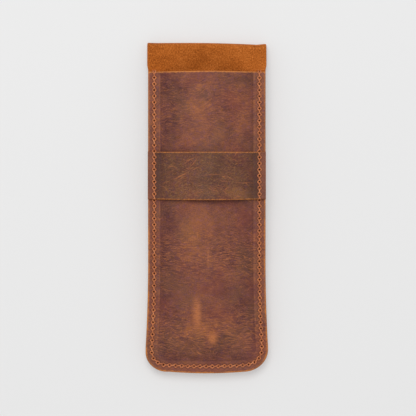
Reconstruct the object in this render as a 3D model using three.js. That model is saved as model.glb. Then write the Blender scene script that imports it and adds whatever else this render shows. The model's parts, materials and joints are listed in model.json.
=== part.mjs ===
// A slim leather case for two fountain pens. It lies on its back with its flap folded
// under it. Millimetres: +X is across the case, +Y runs to the mouth and the fold,
// +Z is up. The origin is on the table, under the middle of the case.
import * as THREE from 'three';

// Leather, thread and the gap between pieces that touch
const panelThickness = 1.8;
const strapThickness = 1.6;
const threadWidth = 1.0;
const threadThickness = 0.6;
const clearance = 0.3;

// Outline of the body
const bodyLength = 165.5;
const bodyHalfWidth = 29.25;
const foldWidening = 0.5;
const foldWideningLength = 4;
const footWidening = 1.3;
const footWideningStartY = -25;
const footWideningLength = 45;
const cornerRadius = 11;
const bottomBow = 0.8;
const bottomBowLength = 12;
const foldY = bodyLength / 2;
const bottomY = -bodyLength / 2;

// Pocket: a mouth below the fold, a flat sewn margin that ends at a pressed crease
const mouthY = foldY - 14.75;
const marginWidth = 6.1;
const seamInset = 3;
const frontSwell = 8.5;
const backSwell = 5.6;
const sideFullness = 1.15;
const footFullness = 2.2;
const footSwellStartY = -35;
const mouthFadeStartY = 62;

// Heights over the table. The upper half of the body lies on the folded flap.
const seamHeight = 6;
const flapRise = 2.2;
const flapRiseStartY = -36;
const flapRiseEndY = -9;
const foldDrop = 2.2;
const foldDropStartY = 66;
const footDrop = 1.8;
const footDropStartY = -45;

// Retaining strap, sewn in at both sides and arched clear of the front
const strapTopY = 28;
const strapHeight = 23.8;
const strapBow = 0.65;
const strapHalfLength = 29.55;
const strapArch = 2.1;

// Flap: fold strip, end wall and cover, tapered to a round tongue
const wallLength = 16.3;
const coverLength = 73;
const tongueHalfWidth = 22;
const taperStart = 2;
const taperEnd = 36;
const tongueRadius = 10;
const hingeRelief = 1.1;

// Seam thread
const stitchPitch = 3.05;
const threadStartRise = 1.4;
const stepReach = 0.6; // how far past an edge the thread is still lifted
const stepStations = [-0.8, -0.4, 0.4, 0.8];

const { clamp, smoothstep, lerp } = THREE.MathUtils;

const grainLeather = { color: 0x7b4d3c, roughness: 0.55, metalness: 0 };
const fleshLeather = { color: 0xaa5c22, roughness: 0.9, metalness: 0 };
const strapLeather = { color: 0x704b39, roughness: 0.6, metalness: 0 };
const waxedThread = { color: 0xb8693c, roughness: 0.7, metalness: 0 };

const group = new THREE.Group();

function addPiece(name, geometry, material) {
  const mesh = new THREE.Mesh(geometry, new THREE.MeshStandardMaterial(material));
  mesh.name = name;
  group.add(mesh);
}

// Evenly spaced values from first to last, both included.
function spread(first, last, intervals) {
  return Array.from({ length: intervals + 1 }, (_, i) => lerp(first, last, i / intervals));
}

// A closed sheet over a grid. place(column, row, side) gives the point of a grid
// corner on the lower face (side 0) or the upper face (side 1).
function formedSheet(columns, rows, place) {
  const geometry = new THREE.BoxGeometry(1, 1, 1, columns.length - 1, rows.length - 1, 1);
  const position = geometry.attributes.position;
  for (let i = 0; i < position.count; i += 1) {
    const column = columns[Math.round((position.getX(i) + 0.5) * (columns.length - 1))];
    const row = rows[Math.round((position.getY(i) + 0.5) * (rows.length - 1))];
    position.setXYZ(i, ...place(column, row, position.getZ(i) > 0 ? 1 : 0));
  }
  geometry.computeVertexNormals();
  return geometry;
}

// Half the body's width where its sides run straight into the bottom corners.
function straightHalfWidth(y) {
  const foot = clamp((footWideningStartY - y) / footWideningLength, 0, 1);
  const top = smoothstep(y, mouthY, mouthY + foldWideningLength);
  return bodyHalfWidth + footWidening * foot ** 2 + foldWidening * top;
}

// Half the body's width with the round bottom corners taken off.
function halfWidth(y) {
  const below = clamp(bottomY + cornerRadius - y, 0, cornerRadius);
  return straightHalfWidth(y) - cornerRadius + Math.sqrt(cornerRadius ** 2 - below ** 2);
}

// How far the bottom edge's slight bow lifts a point towards the corners.
function bowLift(x, y) {
  const nearness = 1 - smoothstep(y, bottomY, bottomY + bottomBowLength);
  return bottomBow * nearness * (x / (bodyHalfWidth - cornerRadius)) ** 2;
}

// The surface that the body's underside rests on.
function bedHeight(y) {
  return flapRise * smoothstep(y, flapRiseStartY, flapRiseEndY);
}

// Height of the plane where the front and back margins meet.
function seamPlane(y) {
  const drop = foldDrop * smoothstep(y, foldDropStartY, foldY);
  return seamHeight + bedHeight(y) - drop - footDrop * smoothstep(-y, -footDropStartY, foldY);
}

// Share of the full swell, from 0 on the margins to 1 along the middle of the pocket.
function swellShare(x, y) {
  const across = clamp(Math.abs(x) / (straightHalfWidth(y) - marginWidth), 0, 1);
  const footLength = footSwellStartY - bottomY - marginWidth;
  const along = clamp((footSwellStartY - y) / footLength, 0, 1);
  return (1 - across ** 2) ** sideFullness * (1 - along ** footFullness);
}

function frontTop(x, y) {
  return seamPlane(y) + clearance / 2 + frontSwell * swellShare(x, y) + panelThickness;
}

function backBottom(x, y) {
  const fade = 1 - smoothstep(y, mouthFadeStartY, foldY);
  const hanging = seamPlane(y) - clearance / 2 - panelThickness;
  return Math.max(bedHeight(y), hanging - backSwell * swellShare(x, y) * fade);
}

// Grid columns as [share of the inner half width, distance into the margin].
function bodyColumns(intervals) {
  const inner = spread(-1, 1, intervals).map((share) => [share, 0]);
  const margin = [marginWidth - seamInset, marginWidth];
  return [
    ...margin.map((depth) => [-1, depth]).reverse(),
    ...inner,
    ...margin.map((depth) => [1, depth]),
  ];
}

function columnX([share, depth], y) {
  return share * (halfWidth(y) - marginWidth) + Math.sign(share) * depth;
}

// Rows that follow the corner arcs and the bottom crease, then run evenly up to topY.
function bodyRows(topRows) {
  const arc = spread(0, Math.PI / 2, 4).map((a) => bottomY + cornerRadius * (1 - Math.cos(a)));
  const crease = bottomY + marginWidth;
  return [...arc, crease, ...topRows].sort((a, b) => a - b);
}

function pocketRows() {
  return spread(bottomY + cornerRadius, mouthY, 24).slice(1);
}

function frontPanel() {
  return formedSheet(bodyColumns(14), bodyRows(pocketRows()), (column, y, side) => {
    const x = columnX(column, y);
    return [x, y + bowLift(x, y), frontTop(x, y) - (1 - side) * panelThickness];
  });
}

function backPanel() {
  const neck = spread(mouthY, foldY - panelThickness / 2, 4).slice(1);
  const rows = bodyRows([...pocketRows(), ...neck]);
  return formedSheet(bodyColumns(14), rows, (column, y, side) => {
    const x = columnX(column, y);
    return [x, y + bowLift(x, y), backBottom(x, y) + side * panelThickness];
  });
}

function strap() {
  const rows = spread(strapTopY - strapHeight, strapTopY, 4);
  return formedSheet(bodyColumns(14), rows, (column, y, side) => {
    const x = columnX(column, y) * (strapHalfLength / halfWidth(y));
    const middle = 1 - (x / strapHalfLength) ** 2;
    const lift = clearance + strapArch * swellShare(x, y);
    return [x, y - strapBow * middle, frontTop(x, y) + lift + side * strapThickness];
  });
}

// The strap end lies over the seam between these two heights.
function onStrapEnd(y, reach) {
  return y < strapTopY + reach && y > strapTopY - strapHeight - reach;
}

// The seam's route: down one side, round the bottom and up the other side.
function seamRoute() {
  const route = new THREE.Path();
  const startY = mouthY + threadStartRise;
  const cornerY = bottomY + cornerRadius;
  const cornerX = straightHalfWidth(cornerY) - cornerRadius;
  const arcRadius = cornerRadius - seamInset;
  const sideX = (y) => halfWidth(Math.min(y, mouthY)) - seamInset;
  route.moveTo(-sideX(startY), startY);
  for (const y of spread(startY, cornerY, 30).slice(1)) route.lineTo(-sideX(y), y);
  route.absarc(-cornerX, cornerY, arcRadius, Math.PI, 1.5 * Math.PI, false);
  route.lineTo(cornerX, cornerY - arcRadius);
  route.absarc(cornerX, cornerY, arcRadius, -Math.PI / 2, 0, false);
  for (const y of spread(cornerY, startY, 30).slice(1)) route.lineTo(sideX(y), y);
  return route;
}

// A flat thread along the seam. lowerFace(point) is the height of its lower face.
function seamThread(lowerFace) {
  const route = seamRoute();
  const routeLength = route.getLength();
  const startY = mouthY + threadStartRise;
  const steps = [mouthY, strapTopY, strapTopY - strapHeight];
  const bends = steps.flatMap((y) => stepStations.map((offset) => startY - y + offset));
  const stations = [
    ...spread(0, routeLength, Math.round(routeLength / stitchPitch)),
    ...bends,
    ...bends.map((s) => routeLength - s),
  ].sort((a, b) => a - b);
  return formedSheet([-0.5, 0.5], stations, (across, s, side) => {
    const point = route.getPointAt(clamp(s / routeLength, 0, 1));
    const tangent = route.getTangentAt(clamp(s / routeLength, 0, 1));
    const x = point.x - across * threadWidth * -tangent.y;
    const y = point.y - across * threadWidth * tangent.x;
    const lift = bowLift(point.x, point.y);
    return [x, y + lift, lowerFace(point.x, point.y) + side * threadThickness];
  });
}

// The front thread steps up over the mouth's edge and over the strap's ends.
function frontThreadFace(x, y) {
  if (y > mouthY + stepReach) return seamPlane(y) + clearance / 2;
  const strapStep = onStrapEnd(y, stepReach) ? strapThickness + clearance : 0;
  return frontTop(x, Math.min(y, mouthY)) + strapStep + clearance;
}

function backThreadFace(x, y) {
  return seamPlane(y) - clearance / 2 - panelThickness - clearance - threadThickness;
}

// The fold's hinge lines, in the middle of the leather's thickness.
const upperHingeZ = seamPlane(foldY) - clearance / 2 - panelThickness / 2;
const lowerHingeZ = panelThickness / 2;

function foldStrip() {
  const foldHalfWidth = straightHalfWidth(foldY);
  const relief = panelThickness / 2 + clearance;
  const rows = [lowerHingeZ + relief, upperHingeZ - relief];
  return formedSheet([-foldHalfWidth, foldHalfWidth], rows, (x, z, side) => [
    x,
    foldY - side * panelThickness,
    z,
  ]);
}

// Half the flap's width at a distance from the fold.
function flapHalfWidth(distance) {
  const foldHalfWidth = straightHalfWidth(foldY);
  const taper = smoothstep(distance, taperStart, taperEnd);
  const flank = lerp(foldHalfWidth, tongueHalfWidth, taper);
  const past = clamp(distance - (wallLength + coverLength - tongueRadius), 0, tongueRadius);
  return flank - tongueRadius + Math.sqrt(tongueRadius ** 2 - past ** 2);
}

function flapPiece(distances) {
  const rootY = foldY - panelThickness / 2;
  return formedSheet(spread(-1, 1, 6), [...distances].reverse(), (share, distance, side) => [
    share * flapHalfWidth(distance),
    rootY - distance,
    side * panelThickness,
  ]);
}

function flapWall() {
  return flapPiece(spread(0, wallLength - hingeRelief, 4));
}

function flapCover() {
  const end = wallLength + coverLength;
  const arc = spread(0, Math.PI / 2, 4).map((a) => end - tongueRadius * (1 - Math.sin(a)));
  return flapPiece([...spread(wallLength + hingeRelief, end - tongueRadius, 8), ...arc.slice(1)]);
}

addPiece('back_panel', backPanel(), fleshLeather);
addPiece('front_panel', frontPanel(), grainLeather);
addPiece('strap', strap(), strapLeather);
addPiece('front_thread', seamThread(frontThreadFace), waxedThread);
addPiece('back_thread', seamThread(backThreadFace), waxedThread);
addPiece('flap_fold', foldStrip(), fleshLeather);
addPiece('flap_wall', flapWall(), grainLeather);
addPiece('flap_cover', flapCover(), grainLeather);

export default group;
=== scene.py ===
"""A leather case for two fountain pens, lying on its back with its flap folded under it.

The leather is built as closed sheets over height functions, in millimetres, and turned into
metres when a mesh is made. Every leather carries three attributes for its material: "flat", its
place on the flat leather with the distance from the side; "rim", the distance from the cut edge;
and "hole", the distance from the nearest stitch hole.
"""
import json
import math

import bpy
import numpy as np
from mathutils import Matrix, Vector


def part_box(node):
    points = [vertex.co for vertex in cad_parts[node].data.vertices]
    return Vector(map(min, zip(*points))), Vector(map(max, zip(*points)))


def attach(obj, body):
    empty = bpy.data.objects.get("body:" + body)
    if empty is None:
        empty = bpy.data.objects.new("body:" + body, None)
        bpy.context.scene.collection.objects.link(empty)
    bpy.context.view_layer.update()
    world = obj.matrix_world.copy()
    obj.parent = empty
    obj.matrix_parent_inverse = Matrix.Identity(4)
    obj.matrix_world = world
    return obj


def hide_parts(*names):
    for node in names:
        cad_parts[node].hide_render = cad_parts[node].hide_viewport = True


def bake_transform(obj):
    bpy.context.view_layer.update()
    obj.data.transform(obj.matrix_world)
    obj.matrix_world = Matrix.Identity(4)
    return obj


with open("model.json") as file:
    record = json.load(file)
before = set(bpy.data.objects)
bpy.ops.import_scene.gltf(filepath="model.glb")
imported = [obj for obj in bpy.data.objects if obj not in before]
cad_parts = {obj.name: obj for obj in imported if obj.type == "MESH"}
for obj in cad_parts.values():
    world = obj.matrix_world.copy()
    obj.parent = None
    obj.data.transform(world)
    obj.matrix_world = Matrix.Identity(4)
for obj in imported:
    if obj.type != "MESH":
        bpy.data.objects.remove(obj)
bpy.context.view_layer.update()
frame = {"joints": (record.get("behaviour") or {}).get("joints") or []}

MM = 0.001
GRAIN, FLESH, EDGE = 0, 1, 2  # material slots of a leather sheet


# ---------------- sizes from the frame

def node_box(node):
    low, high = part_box(node)
    return np.array(low) / MM, np.array(high) / MM


def hinge_point(name):
    joint = next(j for j in frame["joints"] if j["name"] == name)
    return np.array(joint["pos_m"]) / MM


front_low, front_high = node_box("front_panel")
strap_low, strap_high = node_box("strap")
_, fold_high = node_box("flap_fold")
cover_low, cover_high = node_box("flap_cover")
upper_hinge = hinge_point("flap_fold_upper")
lower_hinge = hinge_point("flap_fold_lower")
bend_hinge = hinge_point("flap_bend")

BOTTOM_Y = front_low[1]
MOUTH_Y = front_high[1]
FOLD_Y = fold_high[1]
TIP_Y = cover_low[1]
THICK = cover_high[2] - cover_low[2]
HALF_THICK = THICK / 2

# The body's outline and relief, close to those of the frame's solids
BODY_HALF_WIDTH = 29.25
FOLD_WIDENING = 0.5
FOLD_WIDENING_LENGTH = 4
FOOT_WIDENING = 1.3
FOOT_WIDENING_Y = -25
FOOT_WIDENING_LENGTH = 45
LEFT_CORNER, RIGHT_CORNER = 10.4, 12.0
BOTTOM_BOW = 0.8
BOTTOM_BOW_REACH = 12
MARGIN = 6.1  # from the edge to the pressed crease
SEAM_INSET = 3.0
BOTTOM_SEAM_INSET = 3.4
HOLE_RADIUS = 0.42
LIP_RADIUS = 0.92
STITCH_PITCH = 3.05
FRONT_SWELL, BACK_SWELL = 8.5, 5.6
SWELL_FADE_Y = -35  # the swell gets less from here down to the bottom
SEAM_HEIGHT = 6.0
SEAM_DROP_AT_FOLD, SEAM_DROP_AT_FOOT = 2.2, 1.8
FLAP_RISE = 2.2  # how far the case lies higher where the flap is under it
FLAP_RISE_FROM_Y, FLAP_RISE_TO_Y = -36, -9
UPPER_BEND_Y, LOWER_BEND_Y = -24, -62  # where the pocket has been bent most
CONTACT = 0.04  # half the space between two leathers sewn together

# How far the cut edges are rounded
OUTER_ROUNDING = 0.45
INNER_ROUNDING = 0.3
STRAP_ROUNDING = 0.35

FINE_STEPS = np.array([0, 0.05, 0.15, 0.3, 0.5, 0.8])  # depths of grid lines beside a cut edge
NO_HOLE = 9.0  # a distance that is far from every stitch hole


def smoothstep(value, low, high):
    t = np.clip((value - low) / (high - low), 0, 1)
    return t * t * (3 - 2 * t)


def straight_half_width(y):
    foot = np.clip((FOOT_WIDENING_Y - y) / FOOT_WIDENING_LENGTH, 0, 1)
    top = smoothstep(y, MOUTH_Y, MOUTH_Y + FOLD_WIDENING_LENGTH)
    return BODY_HALF_WIDTH + FOOT_WIDENING * foot**2 + FOLD_WIDENING * top


def corner_radius(x):
    return np.where(x < 0, LEFT_CORNER, RIGHT_CORNER)


def bottom_edge(x):
    """The bottom's slight bow, up to where the corners start."""
    across = np.clip(np.abs(x) / (BODY_HALF_WIDTH - LEFT_CORNER), 0, 1)
    return BOTTOM_Y + BOTTOM_BOW * across**2


def bow_lift(x, y):
    """How far the bottom's bow lifts a place, fading out above the bottom."""
    return (bottom_edge(x) - BOTTOM_Y) * (1 - smoothstep(y, BOTTOM_Y, BOTTOM_Y + BOTTOM_BOW_REACH))


def edge_distance(x, y):
    """How far a point lies in from the sides and the bottom."""
    radius = corner_radius(x)
    side = straight_half_width(y) - np.abs(x)
    below = y - bottom_edge(x)
    in_corner = (side < radius) & (below < radius)
    round_part = radius - np.hypot(radius - side, radius - below)
    return np.where(in_corner, round_part, np.minimum(side, below))


def bed_height(y):
    """Height of what the case lies on: the floor, or the flap folded under it."""
    return FLAP_RISE * smoothstep(y, FLAP_RISE_FROM_Y, FLAP_RISE_TO_Y)


def seam_plane(y):
    """Height at which the front and the back meet."""
    fold_drop = SEAM_DROP_AT_FOLD * smoothstep(y, 66, FOLD_Y)
    foot_drop = SEAM_DROP_AT_FOOT * smoothstep(-y, 45, FOLD_Y)
    return SEAM_HEIGHT + bed_height(y) - (fold_drop + foot_drop)


def swell_share(x, y):
    """The pocket's swell: 1 along its middle, 0 on the sewn margin."""
    across = np.clip(np.abs(x) / (straight_half_width(y) - MARGIN), 0, 1)
    along = np.clip((SWELL_FADE_Y - y) / (SWELL_FADE_Y - BOTTOM_Y - MARGIN), 0, 1)
    return (1 - across**2) ** 1.15 * (1 - along**2.2)


def inside_share(distance):
    """0 on the sewn margin, 1 inside it."""
    return smoothstep(distance, MARGIN - 1, MARGIN + 5)


def smooth_max(a, b, blend=0.8):
    """The higher of two heights, rounded where they cross."""
    return 0.5 * (a + b + np.sqrt((a - b) ** 2 + blend**2)) - 0.5 * blend * np.exp(-np.abs(a - b))


# ---------------- relief

def wave_field(x, y, wavelength, seed, stretch=1.0, count=28):
    """A smooth random field of about unit size, longer along x where stretch is over 1."""
    random = np.random.default_rng(seed)
    total = np.zeros(np.broadcast(x, y).shape)
    for _ in range(count):
        angle = random.uniform(0, math.tau)
        number = math.tau / (wavelength * random.uniform(0.7, 1.5))
        phase = random.uniform(0, math.tau)
        wave = math.cos(angle) * x / stretch + math.sin(angle) * y
        total += np.cos(number * wave + phase)
    return total * math.sqrt(2 / count)


def groove(distance, place, width):
    """A smooth hump: 1 where the distance is at place, and near 0 two widths away."""
    return np.exp(-(((distance - place) / width) ** 2))


def rim_rounding(distance, radius):
    """How far a cut edge is rounded down at a distance from the edge."""
    left = np.clip(radius - distance, 0, radius)
    return radius - np.sqrt(radius**2 - left**2)


def wrinkles(x, y):
    """Fine creases across the leather, deepest where the pocket bends."""
    bend = groove(y, UPPER_BEND_Y, 9) + 1.2 * groove(y, LOWER_BEND_Y, 8)
    bend = bend + 0.35 * groove(y, 45, 18) + 0.15
    sway = 1.6 * wave_field(x, y, 17, seed=31)
    lines = wave_field(x, y + sway, 1.6, seed=32, stretch=7)
    return bend * (np.abs(lines) - 0.8)


def broad_waves(x, y):
    """The slow rise and fall of the front, alike on both its faces."""
    return 0.28 * wave_field(x, y, 34, seed=11)


# ---------------- meshes

def leather_sheet(name, upper, lower, flat, rim, hole, grain_up, butt_edges=()):
    """A closed sheet between two grids of points (rows, columns, 3) in millimetres.

    flat, rim and hole hold the material's values for the grid. A cut edge bulges a little.
    butt_edges names the sides ("first", "last") where the leather carries on in another piece
    and has no cut edge."""
    rows, columns = upper.shape[:2]
    bulge = 0.12
    grid = np.arange(rows * columns).reshape(rows, columns)
    loop = np.concatenate([grid[0, :-1], grid[:-1, -1], grid[-1, :0:-1], grid[:0:-1, 0]])
    count = rows * columns
    top, bottom = upper.reshape(-1, 3), lower.reshape(-1, 3)
    centre = 0.5 * (top[loop] + bottom[loop])
    outward = np.roll(centre, -1, axis=0) - np.roll(centre, 1, axis=0)
    thickness = top[loop] - bottom[loop]
    outward = np.cross(outward, thickness)
    outward /= np.linalg.norm(outward, axis=1)[:, None] + 1e-9
    sides = {"first": loop < columns, "last": loop >= count - columns}
    for side in butt_edges:
        outward[sides[side]] = 0
    middle = centre + bulge * outward
    points = np.concatenate([top, bottom, middle])
    ring = 2 * count + np.arange(len(loop))
    ahead, ring_ahead = np.roll(loop, -1), np.roll(ring, -1)

    a, b = grid[:-1, :-1].ravel(), grid[:-1, 1:].ravel()
    c, d = grid[1:, 1:].ravel(), grid[1:, :-1].ravel()
    faces = np.concatenate([
        np.stack([a, b, c, d], 1),
        np.stack([a, d, c, b], 1) + count,
        np.stack([loop, ring, ring_ahead, ahead], 1),
        np.stack([ring, loop + count, ahead + count, ring_ahead], 1),
    ])
    top_slot, bottom_slot = (GRAIN, FLESH) if grain_up else (FLESH, GRAIN)
    slots = np.repeat([top_slot, bottom_slot, EDGE], [len(a), len(a), 2 * len(loop)])

    mesh = smooth_mesh(name, points, faces.tolist())
    mesh.polygons.foreach_set("material_index", slots.astype(np.int32))
    for key, values in (("flat", flat), ("rim", rim), ("hole", hole)):
        values = values.reshape(count, -1)
        store(mesh, key, np.concatenate([values, values, values[loop]]))
    mark_butt_edges(mesh, grid, count, butt_edges)
    mesh.update()
    return add_object(name, mesh)


def smooth_mesh(name, points, faces):
    mesh = bpy.data.meshes.new(name)
    mesh.from_pydata((points * MM).tolist(), [], faces)
    mesh.polygons.foreach_set("use_smooth", np.ones(len(faces), bool))
    return mesh


def store(mesh, name, values):
    """Keeps one number or one vector for each point of a mesh."""
    kind = "FLOAT_VECTOR" if values.shape[1] == 3 else "FLOAT"
    attribute = mesh.attributes.new(name, kind, "POINT")
    key = "vector" if values.shape[1] == 3 else "value"
    attribute.data.foreach_set(key, values.astype(np.float32).ravel())


def mark_butt_edges(mesh, grid, count, sides):
    """Keeps the hidden end face from bending the shading beside it."""
    chosen = set()
    for side in sides:
        line = grid[0] if side == "first" else grid[-1]
        chosen.update(line.tolist())
        chosen.update((line + count).tolist())
    for edge in mesh.edges:
        if edge.vertices[0] in chosen and edge.vertices[1] in chosen:
            edge.use_edge_sharp = True


def add_object(name, mesh):
    thing = bpy.data.objects.new(name, mesh)
    bpy.context.scene.collection.objects.link(thing)
    return thing


def fine_ends(first, last, step):
    """Values from first to last, close together at both ends."""
    ends, reach = FINE_STEPS[:-1], FINE_STEPS[-1]
    inner = np.linspace(first + reach, last - reach, int((last - first) / step))
    return np.concatenate([first + ends, inner, (last - ends)[::-1]])


def fine_start(first, last, step):
    """Values from first to last, close together at the first end only."""
    fine_count = len(FINE_STEPS) - 1
    return np.append(fine_ends(first, last, step)[:-fine_count], last)


def margin_depths():
    """Distances in from the edge, across the sewn margin, finest along the stitch holes."""
    outer = np.arange(1.15, SEAM_INSET - 0.8, 0.35)
    holes = np.arange(SEAM_INSET - 0.7, SEAM_INSET + 0.71, 0.2)
    inner = np.arange(SEAM_INSET + 1.05, MARGIN + 1.3, 0.3)
    return np.concatenate([FINE_STEPS, outer, holes, inner])


def body_grid(rows):
    """Grid points over the body's outline: x and y arrays of (rows, columns)."""
    depths = margin_depths()
    inner = np.linspace(-1, 1, 62)
    y = rows[:, None]
    sides = []
    for sign in (-1, 1):
        radius = LEFT_CORNER if sign < 0 else RIGHT_CORNER
        below = np.clip(BOTTOM_Y + radius - y, 0, radius)
        half = straight_half_width(y) - radius + np.sqrt(radius**2 - below**2)
        sides.append((sign * (half - depths), half - depths[-1]))
    (left, left_half), (right, right_half) = sides
    middle = np.where(inner < 0, inner * left_half, inner * right_half)
    x = np.concatenate([left, middle[:, 1:-1], right[:, ::-1]], axis=1)
    return x, y + bow_lift(x, y)


# ---------------- seam

def seam_route():
    """Points every tenth of a millimetre along the seam, from its left end at the mouth."""
    step = 0.1
    left_y = np.arange(MOUTH_Y, BOTTOM_Y + LEFT_CORNER, -step)
    right_y = np.arange(BOTTOM_Y + RIGHT_CORNER, MOUTH_Y, step)
    left = np.stack([-(straight_half_width(left_y) - SEAM_INSET), left_y], 1)
    right = np.stack([straight_half_width(right_y) - SEAM_INSET, right_y], 1)
    corners = []
    for sign, radius in ((-1, LEFT_CORNER), (1, RIGHT_CORNER)):
        centre_x = straight_half_width(BOTTOM_Y + radius) - radius
        turn = np.arange(0, math.pi / 2, step / radius)
        if sign > 0:
            turn = turn[::-1]
        x = sign * (centre_x + (radius - SEAM_INSET) * np.cos(turn))
        y = BOTTOM_Y + radius - (radius - BOTTOM_SEAM_INSET) * np.sin(turn)
        corners.append(np.stack([x, y], 1))
    flat_x = np.arange(corners[0][-1, 0], corners[1][0, 0], step)
    bottom = np.stack([flat_x, np.full_like(flat_x, BOTTOM_Y + BOTTOM_SEAM_INSET)], 1)
    route = np.concatenate([left, corners[0], bottom, corners[1], right])
    route[:, 1] += bow_lift(route[:, 0], route[:, 1])
    return route


def seam_holes():
    route = seam_route()
    travelled = np.concatenate([[0], np.cumsum(np.linalg.norm(np.diff(route, axis=0), axis=1))])
    count = round(travelled[-1] / STITCH_PITCH)
    stations = np.linspace(0, travelled[-1], count + 1)
    return np.stack([np.interp(stations, travelled, route[:, i]) for i in (0, 1)], 1)


HOLES = seam_holes()


def hole_distance(x, y):
    """Distance to the nearest stitch hole, measured so that its contours are rounded diamonds."""
    reach, power = 2.4, 1.35
    nearest = np.full(x.shape, reach)
    for hole_x, hole_y in HOLES:
        near = (np.abs(x - hole_x) < reach) & (np.abs(y - hole_y) < reach)
        across, along = np.abs(x[near] - hole_x), np.abs(y[near] - hole_y)
        nearest[near] = np.minimum(nearest[near], (across**power + along**power) ** (1 / power))
    return nearest


def stitch_relief(hole):
    """The dip of a stitch hole and the lip pulled up round it."""
    lip_height, depth = 0.13, 0.9
    lip = lip_height * groove(hole, LIP_RADIUS, 0.4)
    return lip - depth * np.exp(-((hole / HOLE_RADIUS) ** 4))


def front_surface(x, y):
    """Height of the front panel's grain side, without its stitch holes."""
    distance = edge_distance(x, y)
    base = seam_plane(y) + CONTACT + THICK + FRONT_SWELL * swell_share(x, y)
    base += inside_share(distance) * (broad_waves(x, y) + 0.05 * wave_field(x, y, 9, seed=12))
    base -= 0.3 * groove(distance, SEAM_INSET, 1.1)
    base -= 0.2 * groove(distance, MARGIN, 0.45) * smoothstep(y, BOTTOM_Y, BOTTOM_Y + 22)
    base += 0.035 * wrinkles(x, y)
    base += 0.05 * wave_field(x, y, 6, seed=13)
    rounding = rim_rounding(distance, OUTER_ROUNDING)
    return base - rounding - rim_rounding(MOUTH_Y - y, INNER_ROUNDING)


def strap_surface(x, y):
    """Height of the strap's underside."""
    share = swell_share(x, np.clip(y, strap_low[1], strap_high[1]))
    base = seam_plane(y) + CONTACT + THICK + FRONT_SWELL * share
    slack = CONTACT + 2.3 * share
    return base - 0.3 * groove(straight_half_width(y) - np.abs(x), SEAM_INSET, 1.1) + slack


STRAP_THICK = 1.6
STRAP_HALF = 29.35
STRAP_TOP = strap_high[1]
STRAP_BOTTOM = strap_low[1] + 0.9


def strap_bow(x, y):
    """How far the strap hangs below a straight line, a little more at its lower edge."""
    share = np.clip((y - STRAP_BOTTOM) / (STRAP_TOP - STRAP_BOTTOM), 0, 1)
    return (0.5 - 0.2 * share) * (1 - (x / STRAP_HALF) ** 2)


def make_front():
    rows = fine_ends(BOTTOM_Y, MOUTH_Y, 0.38)
    x, y = body_grid(rows)
    distance = edge_distance(x, y)
    hole = hole_distance(x, y)
    upper = np.stack([x, y, front_surface(x, y) + stitch_relief(hole)], 2)
    swell = FRONT_SWELL * swell_share(x, y) + broad_waves(x, y) * inside_share(distance)
    lower = np.stack([x, y, seam_plane(y) + CONTACT + swell], 2)
    rim = np.minimum(distance, (MOUTH_Y - y) + 0.1)
    flat = np.stack([x, y, distance], 2)
    return leather_sheet("front_leather", upper, lower, flat, rim, hole, grain_up=True)


def make_strap():
    rows = fine_ends(STRAP_BOTTOM, STRAP_TOP, 0.3)[:, None]
    depths = margin_depths()
    inner = np.linspace(-1, 1, 88)[1:-1] * (STRAP_HALF - depths[-1])
    across = np.concatenate([-(STRAP_HALF - depths), inner, (STRAP_HALF - depths)[::-1]])
    x = np.broadcast_to(across, (len(rows), len(across)))
    y = rows - strap_bow(x, rows)
    ends = STRAP_HALF - np.abs(x)
    sides = np.minimum(rows - STRAP_BOTTOM, STRAP_TOP - rows)
    rim = np.minimum(ends, sides)
    hole = hole_distance(x, y)
    low = strap_surface(x, y)
    high = low + STRAP_THICK + 0.05 * wave_field(x, y, 7, seed=21) + stitch_relief(hole)
    high -= rim_rounding(sides, STRAP_ROUNDING) + rim_rounding(ends, INNER_ROUNDING)
    high += 0.12 * groove(sides, 0.6, 0.5)
    flat = np.stack([x, y, ends], 2)
    upper, lower = np.stack([x, y, high], 2), np.stack([x, y, low], 2)
    return leather_sheet("strap_leather", upper, lower, flat, rim, hole, grain_up=True)


# ---------------- back and flap

TURN_Z = 0.5 * (upper_hinge[2] + lower_hinge[2])
TURN_RADIUS = 0.5 * (upper_hinge[2] - lower_hinge[2])
TURN_Y = lower_hinge[1] - TURN_RADIUS  # where the leather starts to turn under
TURN_LENGTH = 0.5 * math.pi * TURN_RADIUS
WALL_MIDDLE_Y = 0.5 * (bend_hinge[1] + lower_hinge[1])
FOLD_HALF_WIDTH = BODY_HALF_WIDTH + FOLD_WIDENING
TONGUE_HALF_WIDTH = 22
TONGUE_RADIUS = 10


def back_bottom(x, y):
    """Height of the back's underside: it hangs down, and is flat where it rests."""
    fade = 1 - smoothstep(y, 62, FOLD_Y)
    hanging = seam_plane(y) - CONTACT - THICK - BACK_SWELL * swell_share(x, y) * fade
    hanging += 0.12 * wave_field(x, y, 30, seed=41) * smoothstep(edge_distance(x, y), 5, 10)
    return smooth_max(bed_height(y), hanging)


def back_relief(x, y):
    """How far the back's grain side is drawn in by its seam and rounded at its edge."""
    distance = edge_distance(x, y)
    pull = 0.25 * groove(distance, SEAM_INSET, 1.0) * (1 - smoothstep(y, MOUTH_Y - 1, MOUTH_Y + 1))
    return pull - 0.03 * wave_field(x, y, 5, seed=42) + rim_rounding(distance, OUTER_ROUNDING)


def swayed(points):
    """Gives the fold its slight bow and its two small ears."""
    x, y, z = np.moveaxis(points, 2, 0)
    ears = np.where(x > 0, 0.6, 0.15) * smoothstep(np.abs(x), 24.5, FOLD_HALF_WIDTH)
    line = ears - 0.8 * ((x + 9) / 32) ** 2 * np.where(x > -9, 1, 0.35)
    return np.stack([x, y + line * smoothstep(y, MOUTH_Y + 2, TURN_Y + TURN_RADIUS), z], 2)


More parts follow.
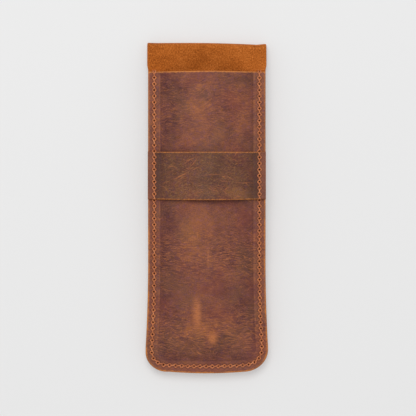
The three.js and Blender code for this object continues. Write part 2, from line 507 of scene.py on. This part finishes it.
def turned(x, turn, height, offset):
    """A point round the fold: turn runs from 0 at the top to pi at the bottom.

    The turn is a rounded square, and the leather is thinner where it bends."""
    sine, cosine = np.sin(turn), np.cos(turn)
    squareness = 0.75
    outward = sine ** (2 - squareness)
    upward = np.sign(cosine) * np.abs(cosine) ** (2 - squareness)
    offset = offset * (1 - 0.16 * np.abs(np.sin(2 * turn))) / np.hypot(outward, upward)
    rise = np.sign(cosine) * np.abs(cosine) ** squareness
    y = TURN_Y + TURN_RADIUS * sine**squareness + offset * outward
    z = TURN_Z + (height - TURN_Z) * rise + offset * upward
    return np.stack([x, y, z], 2)


def make_back():
    """The back of the pocket, on over the fold to the middle of its outer face."""
    x, y = body_grid(fine_start(BOTTOM_Y, TURN_Y, 0.5))
    low = back_bottom(x, y)
    distance = edge_distance(x, y)
    hole = hole_distance(x, y)
    suede = 0.04 * wave_field(x, y, 4, seed=43)
    upper = np.stack([x, y, low + THICK + suede - rim_rounding(distance, INNER_ROUNDING)], 2)
    lower = np.stack([x, y, low + back_relief(x, y) - 0.6 * stitch_relief(hole)], 2)

    turn = np.linspace(0, math.pi / 2, 12)[1:, None]
    fold_x = np.broadcast_to(x[-1], (len(turn), x.shape[1]))
    edge = FOLD_HALF_WIDTH - np.abs(fold_x)
    middle = low[-1] + HALF_THICK
    height = middle + (TURN_Z + TURN_RADIUS - middle) * (turn / turn[-1])
    trim = rim_rounding(edge, INNER_ROUNDING)
    outer = turned(fold_x, turn, height, HALF_THICK - trim)
    inner = turned(fold_x, turn, height, -HALF_THICK + trim)
    fold_flat = np.stack([fold_x, TURN_Y + TURN_RADIUS * turn + 0 * fold_x, edge], 2)
    flat = np.concatenate([np.stack([x, y, distance], 2), fold_flat])
    rim = np.concatenate([distance, edge])
    hole = np.concatenate([hole, np.full(edge.shape, hole.max())])
    return leather_sheet(
        "back_leather",
        swayed(np.concatenate([upper, outer])),
        swayed(np.concatenate([lower, inner])),
        flat, rim, hole, grain_up=False, butt_edges=("last",),
    )


def flap_half_width(distance):
    """Half the flap's width at a distance from the lower hinge towards its round tip."""
    taper = smoothstep(distance, 2, 36)
    flank = FOLD_HALF_WIDTH + (TONGUE_HALF_WIDTH - FOLD_HALF_WIDTH) * taper
    end = lower_hinge[1] - TIP_Y
    past = np.clip(distance - (end - TONGUE_RADIUS), 0, TONGUE_RADIUS)
    return flank - TONGUE_RADIUS + np.sqrt(TONGUE_RADIUS**2 - past**2)


def flap_columns(half):
    """Columns across the flap, finer at its cut edges. half is (rows, 1)."""
    depths = np.append(FINE_STEPS, 1.2)
    inner = np.linspace(-1, 1, 60)[1:-1] * (half - depths[-1])
    return np.concatenate([-(half - depths), inner, (half - depths)[:, ::-1]], axis=1)


def make_flap_turn():
    """From the middle of the fold's outer face round to the middle of the end wall."""
    turn = np.linspace(math.pi / 2, math.pi, 12)[:, None]
    wall_y = np.linspace(TURN_Y, WALL_MIDDLE_Y, 18)[1:, None]
    half_fold = FOLD_HALF_WIDTH + 0 * turn
    half_wall = flap_half_width(lower_hinge[1] - wall_y)
    fold_x, wall_x = flap_columns(half_fold), flap_columns(half_wall)
    fold_edge, wall_edge = half_fold - np.abs(fold_x), half_wall - np.abs(wall_x)
    wall_y = wall_y + 0 * wall_x

    round_height = TURN_Z + TURN_RADIUS + 0 * fold_x
    trim = rim_rounding(fold_edge, INNER_ROUNDING)
    outer = turned(fold_x, turn, round_height, HALF_THICK - trim)
    inner = turned(fold_x, turn, round_height, -HALF_THICK + trim)
    trim = rim_rounding(wall_edge, INNER_ROUNDING)
    under = np.stack([wall_x, wall_y, 0 * wall_x + trim], 2)
    above = np.stack([wall_x, wall_y, THICK - trim], 2)
    length = TURN_Y + TURN_RADIUS * turn + 0 * fold_x
    wall_length = TURN_Y + 2 * TURN_LENGTH + TURN_Y - wall_y
    flat = np.concatenate([
        np.stack([fold_x, length, fold_edge], 2),
        np.stack([wall_x, wall_length, wall_edge], 2),
    ])
    rim = np.concatenate([fold_edge, wall_edge])
    return leather_sheet(
        "flap_turn_leather",
        swayed(np.concatenate([outer, under])),
        swayed(np.concatenate([inner, above])),
        flat, rim, np.full(rim.shape, NO_HOLE), grain_up=False, butt_edges=("first", "last"),
    )


def make_flap_cover():
    """From the middle of the end wall to the flap's round tip, lying under the case."""
    rows = fine_start(TIP_Y, WALL_MIDDLE_Y, 0.9)[:, None]
    half = flap_half_width(lower_hinge[1] - rows)
    x = flap_columns(half)
    y = rows + 0 * x
    distance = np.minimum(half - np.abs(x), y - TIP_Y)
    calm = smoothstep(WALL_MIDDLE_Y - y, 0, 4)
    rounding = rim_rounding(distance, INNER_ROUNDING)
    relief = calm * 0.03 * wave_field(x, y, 6, seed=51) - rounding
    upper = np.stack([x, y, THICK + relief], 2)
    lower = np.stack([x, y, rounding], 2)
    length = TURN_Y + 2 * TURN_LENGTH + TURN_Y - y
    flat = np.stack([x, length, distance], 2)
    return leather_sheet(
        "flap_cover_leather", upper, lower, flat, distance, np.full(distance.shape, NO_HOLE),
        grain_up=True, butt_edges=("last",),
    )


# ---------------- stitches

def stitch_tube(points, across, up, twist_start):
    """Rings of a two-ply thread along points. across and up are unit vectors at each point."""
    sides, width, height = 12, 0.33, 0.27
    angle = np.linspace(0, math.tau, sides, endpoint=False)[None, :, None]
    ends = np.sin(np.linspace(0, math.pi, len(points)))[:, None, None]
    turn = np.linspace(0, 1.6 * math.tau, len(points))[:, None, None] + twist_start
    ply = 1 + 0.16 * np.cos(2 * (angle - turn))
    taper = 0.7 + 0.3 * ends**0.5
    side = width * taper * ply * np.cos(angle) * across[:, None, :]
    rise = height * taper * ply * np.sin(angle) * up[:, None, :]
    return points[:, None, :] + side + rise


def thread_mesh(name, tubes):
    """One mesh of closed tubes, with the place along and round each in "flat"."""
    points, faces, along = [], [], []
    start = 0
    for tube in tubes:
        rings, sides = tube.shape[:2]
        grid = start + np.arange(rings * sides).reshape(rings, sides)
        ahead = np.roll(grid, -1, axis=1)
        quads = np.stack([grid[:-1], ahead[:-1], ahead[1:], grid[1:]], 2).reshape(-1, 4)
        faces += quads.tolist() + [grid[0, ::-1].tolist(), grid[-1].tolist()]
        points.append(tube.reshape(-1, 3))
        angle = np.linspace(0, math.tau, sides, endpoint=False)
        length = start + np.linspace(0, STITCH_PITCH, rings)
        place = np.broadcast_arrays(length[:, None], angle[None, :])
        along.append(np.stack([place[0], place[1], 0 * place[0]], 2).reshape(-1, 3))
        start += rings * sides
    mesh = smooth_mesh(name, np.concatenate(points), faces)
    store(mesh, "flat", np.concatenate(along))
    mesh.update()
    return add_object(name, mesh)


def seam_stitches(surface, sign, slant):
    """One tube for each stitch, from hole to hole over a surface. sign is 1 above, -1 below."""
    random = np.random.default_rng(61 if sign > 0 else 62)
    tubes = []
    for start, end in zip(HOLES[:-1], HOLES[1:]):
        direction = (end - start) / np.linalg.norm(end - start)
        normal = np.array([-direction[1], direction[0]])
        t = np.linspace(0, 1, 15)[:, None]
        lean = slant * (1 + 0.25 * random.normal()) * (2 * t - 1)
        lean = np.sign(lean) * np.abs(lean) ** 0.8
        flat = start + t * (end - start) + lean * normal
        ground = surface(flat[:, 0], flat[:, 1])
        chord = ground[0] + (ground[-1] - ground[0]) * t[:, 0]
        arch = 0.24 * (1 + 0.2 * random.normal()) * np.sin(math.pi * t[:, 0]) ** 0.6
        resting = np.maximum(sign * ground, sign * chord) + arch - 0.08
        dive = 1.1 * (np.abs(2 * t[:, 0] - 1) ** 4.5)
        points = np.column_stack([flat, sign * (resting - dive)])
        across = np.broadcast_to(np.append(normal, 0), points.shape)
        ups = np.broadcast_to([0, 0, float(sign)], points.shape)
        tubes.append(stitch_tube(points, across, ups, random.uniform(0, math.tau)))
    return tubes


def top_surface(x, y):
    """Height of what the front stitches lie on: the strap's ends or the front panel."""
    front_z = front_surface(x, np.minimum(y, MOUTH_Y - 0.31))
    straight_y = y + strap_bow(x, y)
    on_strap = (straight_y < STRAP_TOP + 0.1) & (straight_y > STRAP_BOTTOM - 0.1)
    return np.where(on_strap, strap_surface(x, y) + STRAP_THICK, front_z)


def mouth_tack(side, offset):
    """One of the two strands that loop over the pocket's edge where the seam ends."""
    hole_x, hole_y = HOLES[0] if side < 0 else HOLES[-1]
    t = np.linspace(0, 1, 15)
    y = hole_y - 0.75 + 1.75 * t
    x = hole_x + offset * (0.5 + t)
    front_z = top_surface(x, y)
    back_z = back_bottom(x, np.maximum(y, MOUTH_Y)) + THICK
    over = 1 - smoothstep(y, MOUTH_Y, MOUTH_Y + 0.6)
    z = back_z + (front_z - back_z) * over + 0.16 - 0.6 * np.abs(2 * t - 1) ** 5
    points = np.column_stack([x, y, z])
    across = np.broadcast_to([1.0, 0, 0], points.shape)
    ups = np.gradient(points, axis=0)
    ups = np.cross(across, ups / np.linalg.norm(ups, axis=1)[:, None])
    return stitch_tube(points, across, ups, 0.0)


def make_front_stitches():
    tubes = seam_stitches(top_surface, 1, 0.3)
    tubes += [mouth_tack(side, offset) for side in (-1, 1) for offset in (-0.5, 0.5)]
    return thread_mesh("front_stitches", tubes)


def make_back_stitches():
    def surface(x, y):
        return back_bottom(x, y) + back_relief(x, y)
    return thread_mesh("back_stitches", seam_stitches(surface, -1, 0.1))


# ---------------- materials

def linear(red, green, blue):
    """A colour given as sRGB values up to 255."""
    def channel(value):
        value /= 255
        return value / 12.92 if value <= 0.04045 else ((value + 0.055) / 1.055) ** 2.4
    return (channel(red), channel(green), channel(blue), 1.0)


class Surface:
    """A node material, with short calls for the nodes that leather and thread need.

    Patterns are laid out in millimetres over the "flat" attribute."""

    def __init__(self, name):
        self.material = bpy.data.materials.new(name)
        self.material.use_nodes = True
        self.tree = self.material.node_tree
        self.shader = self.tree.nodes["Principled BSDF"]
        self.flat = self.attribute("flat", "Vector")
        parts = self.add("ShaderNodeSeparateXYZ")
        self.feed(parts.inputs[0], self.flat)
        self.across, self.along, self.inset = parts.outputs

    def add(self, kind, **settings):
        node = self.tree.nodes.new(kind)
        for key, value in settings.items():
            setattr(node, key, value)
        return node

    def feed(self, socket, value):
        if isinstance(value, bpy.types.NodeSocket):
            self.tree.links.new(value, socket)
        else:
            socket.default_value = value

    def finish_with(self, colour, normal, **constants):
        self.feed(self.shader.inputs["Base Color"], colour)
        self.feed(self.shader.inputs["Normal"], normal)
        for name, value in constants.items():
            self.shader.inputs[name.replace("_", " ")].default_value = value
        return self.material

    def attribute(self, name, part="Fac"):
        return self.add("ShaderNodeAttribute", attribute_name=name).outputs[part]

    def math(self, operation, a, b=0.0, c=0.0):
        node = self.add("ShaderNodeMath", operation=operation)
        for socket, value in zip(node.inputs, (a, b, c)):
            self.feed(socket, value)
        return node.outputs[0]

    def times(self, *values):
        product = values[0]
        for value in values[1:]:
            product = self.math("MULTIPLY", product, value)
        return product

    def plus(self, value, share, other):
        """value + share * (other - 0.5)"""
        return self.math("MULTIPLY_ADD", self.math("SUBTRACT", other, 0.5), share, value)

    def sized(self, vector, size, place=(0, 0), turn=0.0):
        """A place measured in units of size, along axes turned about a place.

        size is a width and length in millimetres, or one number for both."""
        if not isinstance(size, tuple):
            size = (size, size)
        node = self.add("ShaderNodeMapping", vector_type="TEXTURE")
        self.feed(node.inputs["Vector"], vector)
        node.inputs["Location"].default_value = (*place, 0)
        node.inputs["Rotation"].default_value = (0, 0, turn)
        node.inputs["Scale"].default_value = (*size, 1000)
        return node.outputs[0]

    def texture(self, kind, place):
        node = self.add(kind)
        self.feed(node.inputs["Vector"], place)
        node.inputs["Scale"].default_value = 1.0
        return node

    def noise(self, vector, size, detail=3.0, roughness=0.55, place=(0, 0), turn=0.0):
        """Smooth noise from 0 to 1."""
        node = self.texture("ShaderNodeTexNoise", self.sized(vector, size, place, turn))
        node.inputs["Detail"].default_value = detail
        node.inputs["Roughness"].default_value = roughness
        return node.outputs["Fac"]

    def cells(self, vector, size):
        node = self.texture("ShaderNodeTexVoronoi", self.sized(vector, size))
        return node.outputs["Distance"]

    def warp(self, vector, size, amount):
        """Shifts a place by a smooth random amount."""
        node = self.texture("ShaderNodeTexNoise", self.sized(vector, size))
        centred = self.add("ShaderNodeVectorMath", operation="SUBTRACT")
        self.feed(centred.inputs[0], node.outputs["Color"])
        centred.inputs[1].default_value = (0.5, 0.5, 0.5)
        moved = self.add("ShaderNodeVectorMath", operation="MULTIPLY_ADD")
        self.feed(moved.inputs[0], centred.outputs[0])
        moved.inputs[1].default_value = (amount, amount, 0)
        self.feed(moved.inputs[2], vector)
        return moved.outputs[0]

    def step(self, value, low, high, out_low=0.0, out_high=1.0):
        node = self.add("ShaderNodeMapRange", interpolation_type="SMOOTHSTEP")
        settings = (low, high, out_low, out_high)
        self.feed(node.inputs["Value"], value)
        for name, setting in zip(("From Min", "From Max", "To Min", "To Max"), settings):
            node.inputs[name].default_value = setting
        return node.outputs[0]

    def band(self, value, place, width):
        """1 where value is at place, falling to 0 a width away."""
        apart = self.math("ABSOLUTE", self.math("SUBTRACT", value, place))
        return self.step(apart, 0, width, 1, 0)

    def blotch(self, vector, centre, size, turn=0.0):
        """A soft oval patch: 1 in its middle, 0 outside."""
        length = self.add("ShaderNodeVectorMath", operation="LENGTH")
        self.feed(length.inputs[0], self.sized(vector, size, centre, turn))
        return self.step(length.outputs["Value"], 0.1, 1.0, 1, 0)

    def mix(self, share, first, second):
        node = self.add("ShaderNodeMix", data_type="RGBA")
        for socket, value in zip((node.inputs["Factor"], node.inputs[6], node.inputs[7]),
                                 (share, first, second)):
            self.feed(socket, value)
        return node.outputs[2]

    def tinted(self, share, colour, factor):
        """Multiplies a share of a colour's red, green and blue by factor."""
        node = self.add("ShaderNodeMix", data_type="RGBA", blend_type="MULTIPLY")
        self.feed(node.inputs["Factor"], share)
        self.feed(node.inputs[6], colour)
        self.feed(node.inputs[7], (*factor, 1.0))
        return node.outputs[2]

    def ramp(self, value, *stops):
        node = self.add("ShaderNodeValToRGB")
        self.feed(node.inputs["Fac"], value)
        elements = node.color_ramp.elements
        while len(elements) < len(stops):
            elements.new(0.5)
        for element, (place, colour) in zip(elements, stops):
            element.position = place
            element.color = colour
        return node.outputs["Color"]

    def bump(self, height, depth, below=None):
        """A relief that is depth millimetres from its lowest to its highest."""
        node = self.add("ShaderNodeBump")
        node.inputs["Strength"].default_value = 1.0
        node.inputs["Distance"].default_value = depth * MM
        self.feed(node.inputs["Height"], height)
        if below is not None:
            self.feed(node.inputs["Normal"], below)
        return node.outputs[0]


BODY_BROWNS = (linear(84, 47, 45), linear(121, 73, 61), linear(162, 99, 63))
STRAP_BROWNS = (linear(63, 38, 36), linear(99, 62, 52), linear(150, 101, 66))
RED_TINT = linear(122, 60, 54)
OLIVE_TINT = linear(112, 84, 54)
PULLED = linear(200, 122, 72)
RAW_ORANGE = linear(204, 128, 66)
SEAM_ORANGE = linear(176, 100, 60)
LIP_ORANGE = linear(216, 132, 82)
FLECK = linear(150, 110, 66)
# Painted shade: the dark of the stitch holes and round their lips
HOLE_SHADE = linear(46, 20, 14)
COLDER, WARMER = (0.95, 0.96, 1.55), (1.04, 1.0, 0.6)  # factors for red, green and blue
TONE_STOPS = (0.22, 0.5, 0.82)


class GrainSurface(Surface):
    """A grain side, with the patterns that the parts of its look share."""

    def __init__(self, name, strap):
        super().__init__(name)
        self.strap = strap
        self.palette = STRAP_BROWNS if strap else BODY_BROWNS
        self.rim, self.hole = self.attribute("rim"), self.attribute("hole")
        wavy = self.warp(self.warp(self.flat, 16, 9.0), 5, 2.2)
        self.cloudy = self.noise(self.warp(self.flat, 12, 7.0), 13, 4.0, 0.6)
        self.blotchy = self.noise(self.flat, 3.6, 3.0, 0.6, place=(40, 9))
        self.speckle = self.noise(self.flat, 0.52, 3.0, 0.7)
        self.folds = self.noise(wavy, (4.4, 0.6), 1.4, 0.5)
        self.fine_folds = self.noise(wavy, (1.9, 0.4), 1.0, 0.5, place=(7, 3))
        upper = self.band(self.along, UPPER_BEND_Y, 19)
        lower = self.band(self.along, LOWER_BEND_Y, 20)
        mouth = self.times(self.band(self.along, 50, 28), 0.45)
        self.bends = self.math("ADD", self.math("ADD", upper, lower), mouth)


def grain_tone(s, glows):
    """How light the brown is: clouds, blotches, speckle and folds, with painted shade on the
    flanks inside the crease.
    """
    tone = s.plus(0.5, s.step(s.along, 15, 50, 0.55, 0.9), s.cloudy)
    tone = s.plus(tone, 0.12 if s.strap else 0.36, s.blotchy)
    tone = s.plus(tone, 0.85, s.speckle)
    tone = s.plus(tone, s.math("MULTIPLY_ADD", s.bends, 0.34, 0.07), s.folds)
    tone = s.plus(tone, s.math("MULTIPLY_ADD", s.bends, 0.3, 0.08), s.fine_folds)
    for centre, size, strength in glows:
        patch = s.blotch(s.warp(s.flat, 6, 5.0), centre, size)
        tone = s.math("MULTIPLY_ADD", patch, strength, tone)
    if not s.strap:
        # Painted shade on the swell's sloping flanks, just inside the crease.
        flank = s.times(s.step(s.inset, MARGIN - 1.2, MARGIN + 1.2), s.step(s.inset, 8, 20, 1, 0))
        tone = s.math("SUBTRACT", tone, s.times(flank, 0.12))
    return tone


def tinted_brown(s, tone):
    """The brown for a tone, with patches of other hues."""
    colour = s.ramp(tone, *zip(TONE_STOPS, s.palette))
    for seed, factor in ((5, COLDER), (19, WARMER)):
        patch = s.noise(s.flat, 1.7, 3.0, 0.7, place=(seed, seed))
        colour = s.tinted(s.step(patch, 0.5, 0.68), colour, factor)
    tint = s.noise(s.flat, 17, 2.0, 0.5, place=(11, 60))
    colour = s.mix(s.step(tint, 0.5, 0.68, 0, 0.35), colour, RED_TINT)
    return s.mix(s.step(tint, 0.5, 0.34, 0, 0.2), colour, OLIVE_TINT)


def pulled_share(s, marks):
    """Where the wax has moved and the leather is pale: folds, marks and scratches."""
    pulled = s.times(s.band(s.folds, 0.57, 0.05), s.math("MULTIPLY_ADD", s.bends, 0.45, 0.16))
    for centre, size, turn, strength in marks:
        patch = s.blotch(s.warp(s.flat, 3, 1.2), centre, size, turn)
        pulled = s.math("MAXIMUM", pulled, s.times(patch, strength))
    grainy = s.step(s.speckle, 0.3, 0.62, 0.5, 1.0)
    pulled = s.times(pulled, grainy, s.step(s.folds, 0.3, 0.55, 0.6, 1.0))
    for turn, seed in ((0.5, 3), (-0.45, 29)):
        lines = s.noise(s.warp(s.flat, 9, 5.0), (26, 1.4), 1.0, 0.4, place=(seed, 0), turn=turn)
        where = s.noise(s.flat, 8, 2.0, place=(seed, seed))
        thin = s.times(s.band(lines, 0.5, 0.014), s.step(where, 0.48, 0.6))
        pulled = s.math("MAXIMUM", pulled, s.times(thin, 0.6 if s.strap else 0.35))
    return pulled


def past_seam(s):
    """0 on the outer part of the sewn margin, 1 inside the seam."""
    return s.step(s.inset, SEAM_INSET + 0.1, SEAM_INSET + 0.8)


def strap_colour(s, tone, colour):
    """Flecks, the body's browns on the sewn ends, and painted shade in a dark band inside the
    seam, where the strap rises from it.
    """
    flecks = s.noise(s.warp(s.flat, 4, 3.0), (1.5, 0.8), 3.0, 0.65, turn=0.5)
    colour = s.mix(s.step(flecks, 0.52, 0.68, 0, 0.5), colour, FLECK)
    inner = past_seam(s)
    margin_colour = s.ramp(tone, *zip(TONE_STOPS, BODY_BROWNS))
    colour = s.mix(s.step(inner, 0, 1, 0.75, 0), colour, margin_colour)
    # Painted shade inside the seam, where the strap rises off the front.
    ends = s.math("MAXIMUM", s.times(s.band(s.inset, SEAM_INSET + 1.4, 2.0), 0.55),
                  s.step(s.inset, SEAM_INSET + 1.0, SEAM_INSET + 7, 0.55, 0.0))
    return s.mix(s.times(ends, inner), colour, s.palette[0])


def edge_wear(s):
    """Where wear from the cut edge reaches in over the grain."""
    if s.strap:
        wear = s.math("MULTIPLY_ADD", past_seam(s), 0.8, 0.15)
        rim = s.math("ADD", s.rim, 0.3)
    else:
        patchy = s.noise(s.flat, 7, 2.0, 0.5, place=(2, 31))
        wear = s.times(s.step(patchy, 0.36, 0.6, 0.45, 1.0), s.step(s.along, -5, 30, 1.0, 0.6))
        wear = s.math("MAXIMUM", wear, s.step(s.along, MOUTH_Y - 1.6, MOUTH_Y - 0.8))
        rim = s.rim
    worn = s.noise(s.flat, 1.2, 3.0, 0.7)
    ragged = s.math("SUBTRACT", s.math("MULTIPLY_ADD", worn, 1.5, rim), 0.75)
    return s.times(s.step(ragged, 0.15, 0.95, 1.0, 0.0), wear)


def seam_colour(s, colour):
    """Orange along the seam, a pale line of pulled leather at the crease, and painted shade in a
    dark line along its inner side.
    """
    colour = s.mix(s.times(s.band(s.inset, SEAM_INSET - 0.3, 2.8), 0.2), colour, SEAM_ORANGE)
    if not s.strap:
        broken = s.times(s.step(s.blotchy, 0.36, 0.6), s.step(s.along, -76, -62))
        line = s.times(s.band(s.inset, MARGIN - 0.45, 0.45), broken)
        colour = s.mix(s.times(line, 0.3), colour, PULLED)
        # Painted shade along the inner side of the crease.
        colour = s.mix(s.times(s.band(s.inset, MARGIN + 0.15, 0.5), 0.25), colour, s.palette[0])
    return colour


def inside_hole(s, hole):
    """1 in a stitch hole, 0 outside."""
    return s.step(hole, HOLE_RADIUS - 0.12, HOLE_RADIUS + 0.22, 1, 0)


def hole_colour(s, colour):
    """The holes' broken pale lips, painted shade round the lips, and painted shade in the dark
    holes.
    """
    broken = s.noise(s.warp(s.flat, 2, 1.0), (0.7, 1.5), 2.0, 0.6, place=(13, 5), turn=0.6)
    lip = s.times(s.band(s.hole, LIP_RADIUS - 0.07, 0.5), s.step(broken, 0.4, 0.6, 0.3, 1.0))
    colour = s.mix(lip, colour, LIP_ORANGE)
    shade = s.times(s.band(s.hole, LIP_RADIUS + 0.6, 0.5), s.step(broken, 0.5, 0.66, 0.4, 0.1))
    colour = s.mix(shade, colour, HOLE_SHADE)
    return s.mix(inside_hole(s, s.hole), colour, HOLE_SHADE)


def grain_relief(s):
    """Pebbles and pores, with the folds over them."""
    pebbles = s.cells(s.warp(s.flat, 1.6, 0.5), 0.8)
    pores = s.noise(s.flat, 0.4, 2.0, 0.5)
    fine = s.bump(s.math("MULTIPLY_ADD", pores, 0.5, s.times(pebbles, 0.6)), 0.07)
    return s.bump(s.times(s.folds, s.math("MULTIPLY_ADD", s.bends, 0.8, 0.35)), 0.24, fine)


def grain_material(name, glows=(), marks=(), strap=False, seam=True):
    """Waxed pull-up leather: brown, mottled, paler where it has been bent, rubbed or cut.

    glows are places where the brown is lighter: centre, half sizes and strength of each.
    marks are places where it is rubbed through: centre, half sizes, turn and strength."""
    s = GrainSurface(name, strap)
    tone = grain_tone(s, glows)
    colour = s.mix(pulled_share(s, marks), tinted_brown(s, tone), PULLED)
    if strap:
        colour = strap_colour(s, tone, colour)
    rubbed = edge_wear(s)
    colour = s.mix(rubbed, colour, RAW_ORANGE)
    if seam:
        colour = seam_colour(s, colour)
    colour = hole_colour(s, colour)
    rough = s.step(tone, 0.3, 0.75, 0.48, 0.66)
    s.feed(s.shader.inputs["Roughness"], s.math("ADD", rough, s.times(rubbed, 0.2)))
    return s.finish_with(colour, grain_relief(s), Specular_IOR_Level=0.17)


def flesh_material():
    """The suede inner side: matt, fibrous and orange-brown."""
    s = Surface("flesh_side")
    cloudy = s.noise(s.warp(s.flat, 10, 5.0), 9, 4.0, 0.6)
    nap = s.noise(s.warp(s.flat, 1.4, 1.0), (0.55, 0.8), 3.5, 0.75)
    tone = s.plus(s.plus(0.5, 1.5, nap), 0.4, cloudy)
    # Darker towards the left side.
    tone = s.math("SUBTRACT", tone, s.step(s.across, -28, -12, 0.07, 0.0))
    colour = s.ramp(tone, (0.2, linear(120, 57, 12)), (0.5, linear(178, 95, 31)),
                    (0.85, linear(220, 132, 62)))
    colour = s.mix(s.step(s.attribute("rim"), 0, 0.6, 0.35, 0.0), colour, linear(206, 128, 66))
    # Painted shade in the stitch holes.
    colour = s.mix(inside_hole(s, s.attribute("hole")), colour, HOLE_SHADE)
    fibres = s.noise(s.flat, (0.22, 0.34), 3.0, 0.7)
    return s.finish_with(
        colour, s.bump(s.math("ADD", fibres, nap), 0.12),
        Roughness=0.95, Specular_IOR_Level=0.15, Sheen_Weight=0.2, Sheen_Roughness=0.5,
        Sheen_Tint=linear(235, 170, 110),
    )


def edge_material():
    """The cut edge: layered fibres, from orange to brown."""
    s = Surface("raw_edge")
    scaled = s.add("ShaderNodeMapping")
    s.feed(scaled.inputs["Vector"], s.add("ShaderNodeTexCoord").outputs["Object"])
    scaled.inputs["Scale"].default_value = (900, 900, 2600)
    layers = s.texture("ShaderNodeTexNoise", scaled.outputs[0])
    layers.inputs["Detail"].default_value = 3.0
    fibres = layers.outputs["Fac"]
    colour = s.ramp(fibres, (0.3, linear(120, 66, 38)), (0.5, linear(176, 104, 54)),
                    (0.72, linear(212, 144, 86)))
    return s.finish_with(colour, s.bump(fibres, 0.1), Roughness=0.85, Specular_IOR_Level=0.2)


def thread_material():
    """Waxed orange thread with fine fibres along it."""
    s = Surface("waxed_thread")
    fibres = s.noise(s.flat, (0.5, 0.35), 3.0, 0.6)
    cloudy = s.noise(s.flat, 5, 2.0)
    tone = s.plus(s.plus(0.5, 1.0, fibres), 0.8, cloudy)
    colour = s.ramp(tone, (0.25, linear(150, 80, 44)), (0.5, linear(196, 116, 72)),
                    (0.75, linear(228, 156, 106)))
    return s.finish_with(colour, s.bump(fibres, 0.04), Roughness=0.55, Specular_IOR_Level=0.35)


# ---------------- the object

# Lighter and rubbed places, in millimetres and radians, as grain_material takes them
FRONT_GLOWS = (
    ((-6, -14), (12, 28), 0.18),
    ((-4, 44), (10, 26), 0.1),
    ((18, 52), (9, 22), 0.12),
    ((-18, 42), (7, 22), -0.1),
    ((-2, -61), (14, 7.5), 0.24),
    ((18, -62), (9, 16), 0.08),
    ((-18, -58), (8, 16), 0.08),
)
FRONT_MARKS = (
    ((-5, -53), (3.5, 13), 0, 0.85),
    ((2.9, -65), (3.9, 5.6), 0, 0.85),
    ((0.6, -24), (0.9, 11), 0, 0.35),
    ((-4, -72.5), (0.5, 2.2), 0.9, 0.8),
    ((-4.6, -14), (0.35, 4.5), 0.12, 0.5),
)
STRAP_MARKS = (
    ((-13, 15.9), (5.2, 0.5), 0.48, 0.85),
    ((-12, 14.9), (4, 0.4), 0.5, 0.5),
    ((-20, 12.8), (3.6, 0.35), 0.18, 0.45),
    ((-6.5, 22.2), (6, 0.4), 0.9, 0.5),
    ((-10, 22.6), (5, 0.35), 0.7, 0.4),
    ((3, 16.4), (7.5, 0.35), 0.06, 0.4),
    ((11, 15.2), (5, 0.35), -0.5, 0.4),
    ((19, 12.4), (8, 0.35), 0, 0.45),
)
STRAP_GLOWS = (
    ((-4, 8), (14, 3.5), 0.1),
    ((14, 7), (12, 4), 0.16),
    ((-11, 19), (11, 9), 0.06),
    ((14, 18), (8, 8), 0.08),
    ((3, 16), (6, 10), -0.1),
)

FLESH_SIDE = flesh_material()
RAW_EDGE = edge_material()
THREAD = thread_material()
FRONT_GRAIN = grain_material("front_grain", FRONT_GLOWS, FRONT_MARKS)
BACK_GRAIN = grain_material("back_grain", seam=False)
STRAP_GRAIN = grain_material("strap_grain", STRAP_GLOWS, STRAP_MARKS, strap=True)


def dress(piece, grain):
    for material in (grain, FLESH_SIDE, RAW_EDGE):
        piece.data.materials.append(material)


front = make_front()
dress(front, FRONT_GRAIN)
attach(front, "case")
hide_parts("front_panel")

strap = make_strap()
dress(strap, STRAP_GRAIN)
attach(strap, "case")
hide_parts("strap")

back = make_back()
dress(back, BACK_GRAIN)
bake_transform(back)
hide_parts("back_panel", "flap_fold")

flap_turn = make_flap_turn()
dress(flap_turn, BACK_GRAIN)
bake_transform(flap_turn)
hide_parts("flap_wall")

flap_cover = make_flap_cover()
dress(flap_cover, BACK_GRAIN)
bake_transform(flap_cover)
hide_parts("flap_cover")

front_stitches, back_stitches = make_front_stitches(), make_back_stitches()
for stitches, node in ((front_stitches, "front_thread"), (back_stitches, "back_thread")):
    stitches.data.materials.append(THREAD)
    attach(stitches, "case")
    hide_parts(node)


# ---------------- floor, light and camera

def make_floor():
    """A pale floor, with a faint glow that softens the shadow round the case."""
    half, drop = 3.0, -0.0002
    mesh = bpy.data.meshes.new("floor")
    corners = [(-half, -half, drop), (half, -half, drop), (half, half, drop), (-half, half, drop)]
    mesh.from_pydata(corners, [], [(0, 1, 2, 3)])
    paint = bpy.data.materials.new("pale_floor")
    paint.use_nodes = True
    shader = paint.node_tree.nodes["Principled BSDF"]
    shader.inputs["Base Color"].default_value = linear(186, 186, 186)
    shader.inputs["Roughness"].default_value = 0.9
    shader.inputs["Emission Color"].default_value = (1, 1, 1, 1)
    shader.inputs["Emission Strength"].default_value = 0.34
    mesh.materials.append(paint)
    add_object("floor", mesh)


def add_light(name, place, size, power):
    """A soft square lamp that shines at the middle of the object."""
    lamp = bpy.data.objects.new(name, bpy.data.lights.new(name, "AREA"))
    lamp.data.shape = "SQUARE"
    lamp.data.size = size
    lamp.data.energy = power
    lamp.location = place
    lamp.rotation_euler = (-lamp.location).to_track_quat("-Z", "Y").to_euler()
    bpy.context.scene.collection.objects.link(lamp)


def set_sky(strength):
    """Even white light from all round."""
    sky = bpy.data.worlds.new("studio")
    sky.use_nodes = True
    background = sky.node_tree.nodes["Background"]
    background.inputs["Color"].default_value = (1, 1, 1, 1)
    background.inputs["Strength"].default_value = strength
    bpy.context.scene.world = sky


def add_camera(centre, view_width, distance):
    """Looks straight down, with the fold at the top of the picture."""
    data = bpy.data.cameras.new("camera")
    data.lens = data.sensor_width * distance / view_width
    data.clip_start, data.clip_end = 0.05, 20
    camera = bpy.data.objects.new("camera", data)
    camera.location = (centre[0], centre[1], centre[2] + distance)
    bpy.context.scene.collection.objects.link(camera)
    bpy.context.scene.camera = camera


make_floor()
set_sky(strength=0.6)
add_light("key", place=(-0.1, 0.42, 0.95), size=0.55, power=4.7)
add_camera(centre=(0.00058, -0.00005, 0.011), view_width=0.2075, distance=1.5)
bpy.context.scene.view_settings.view_transform = "Standard"
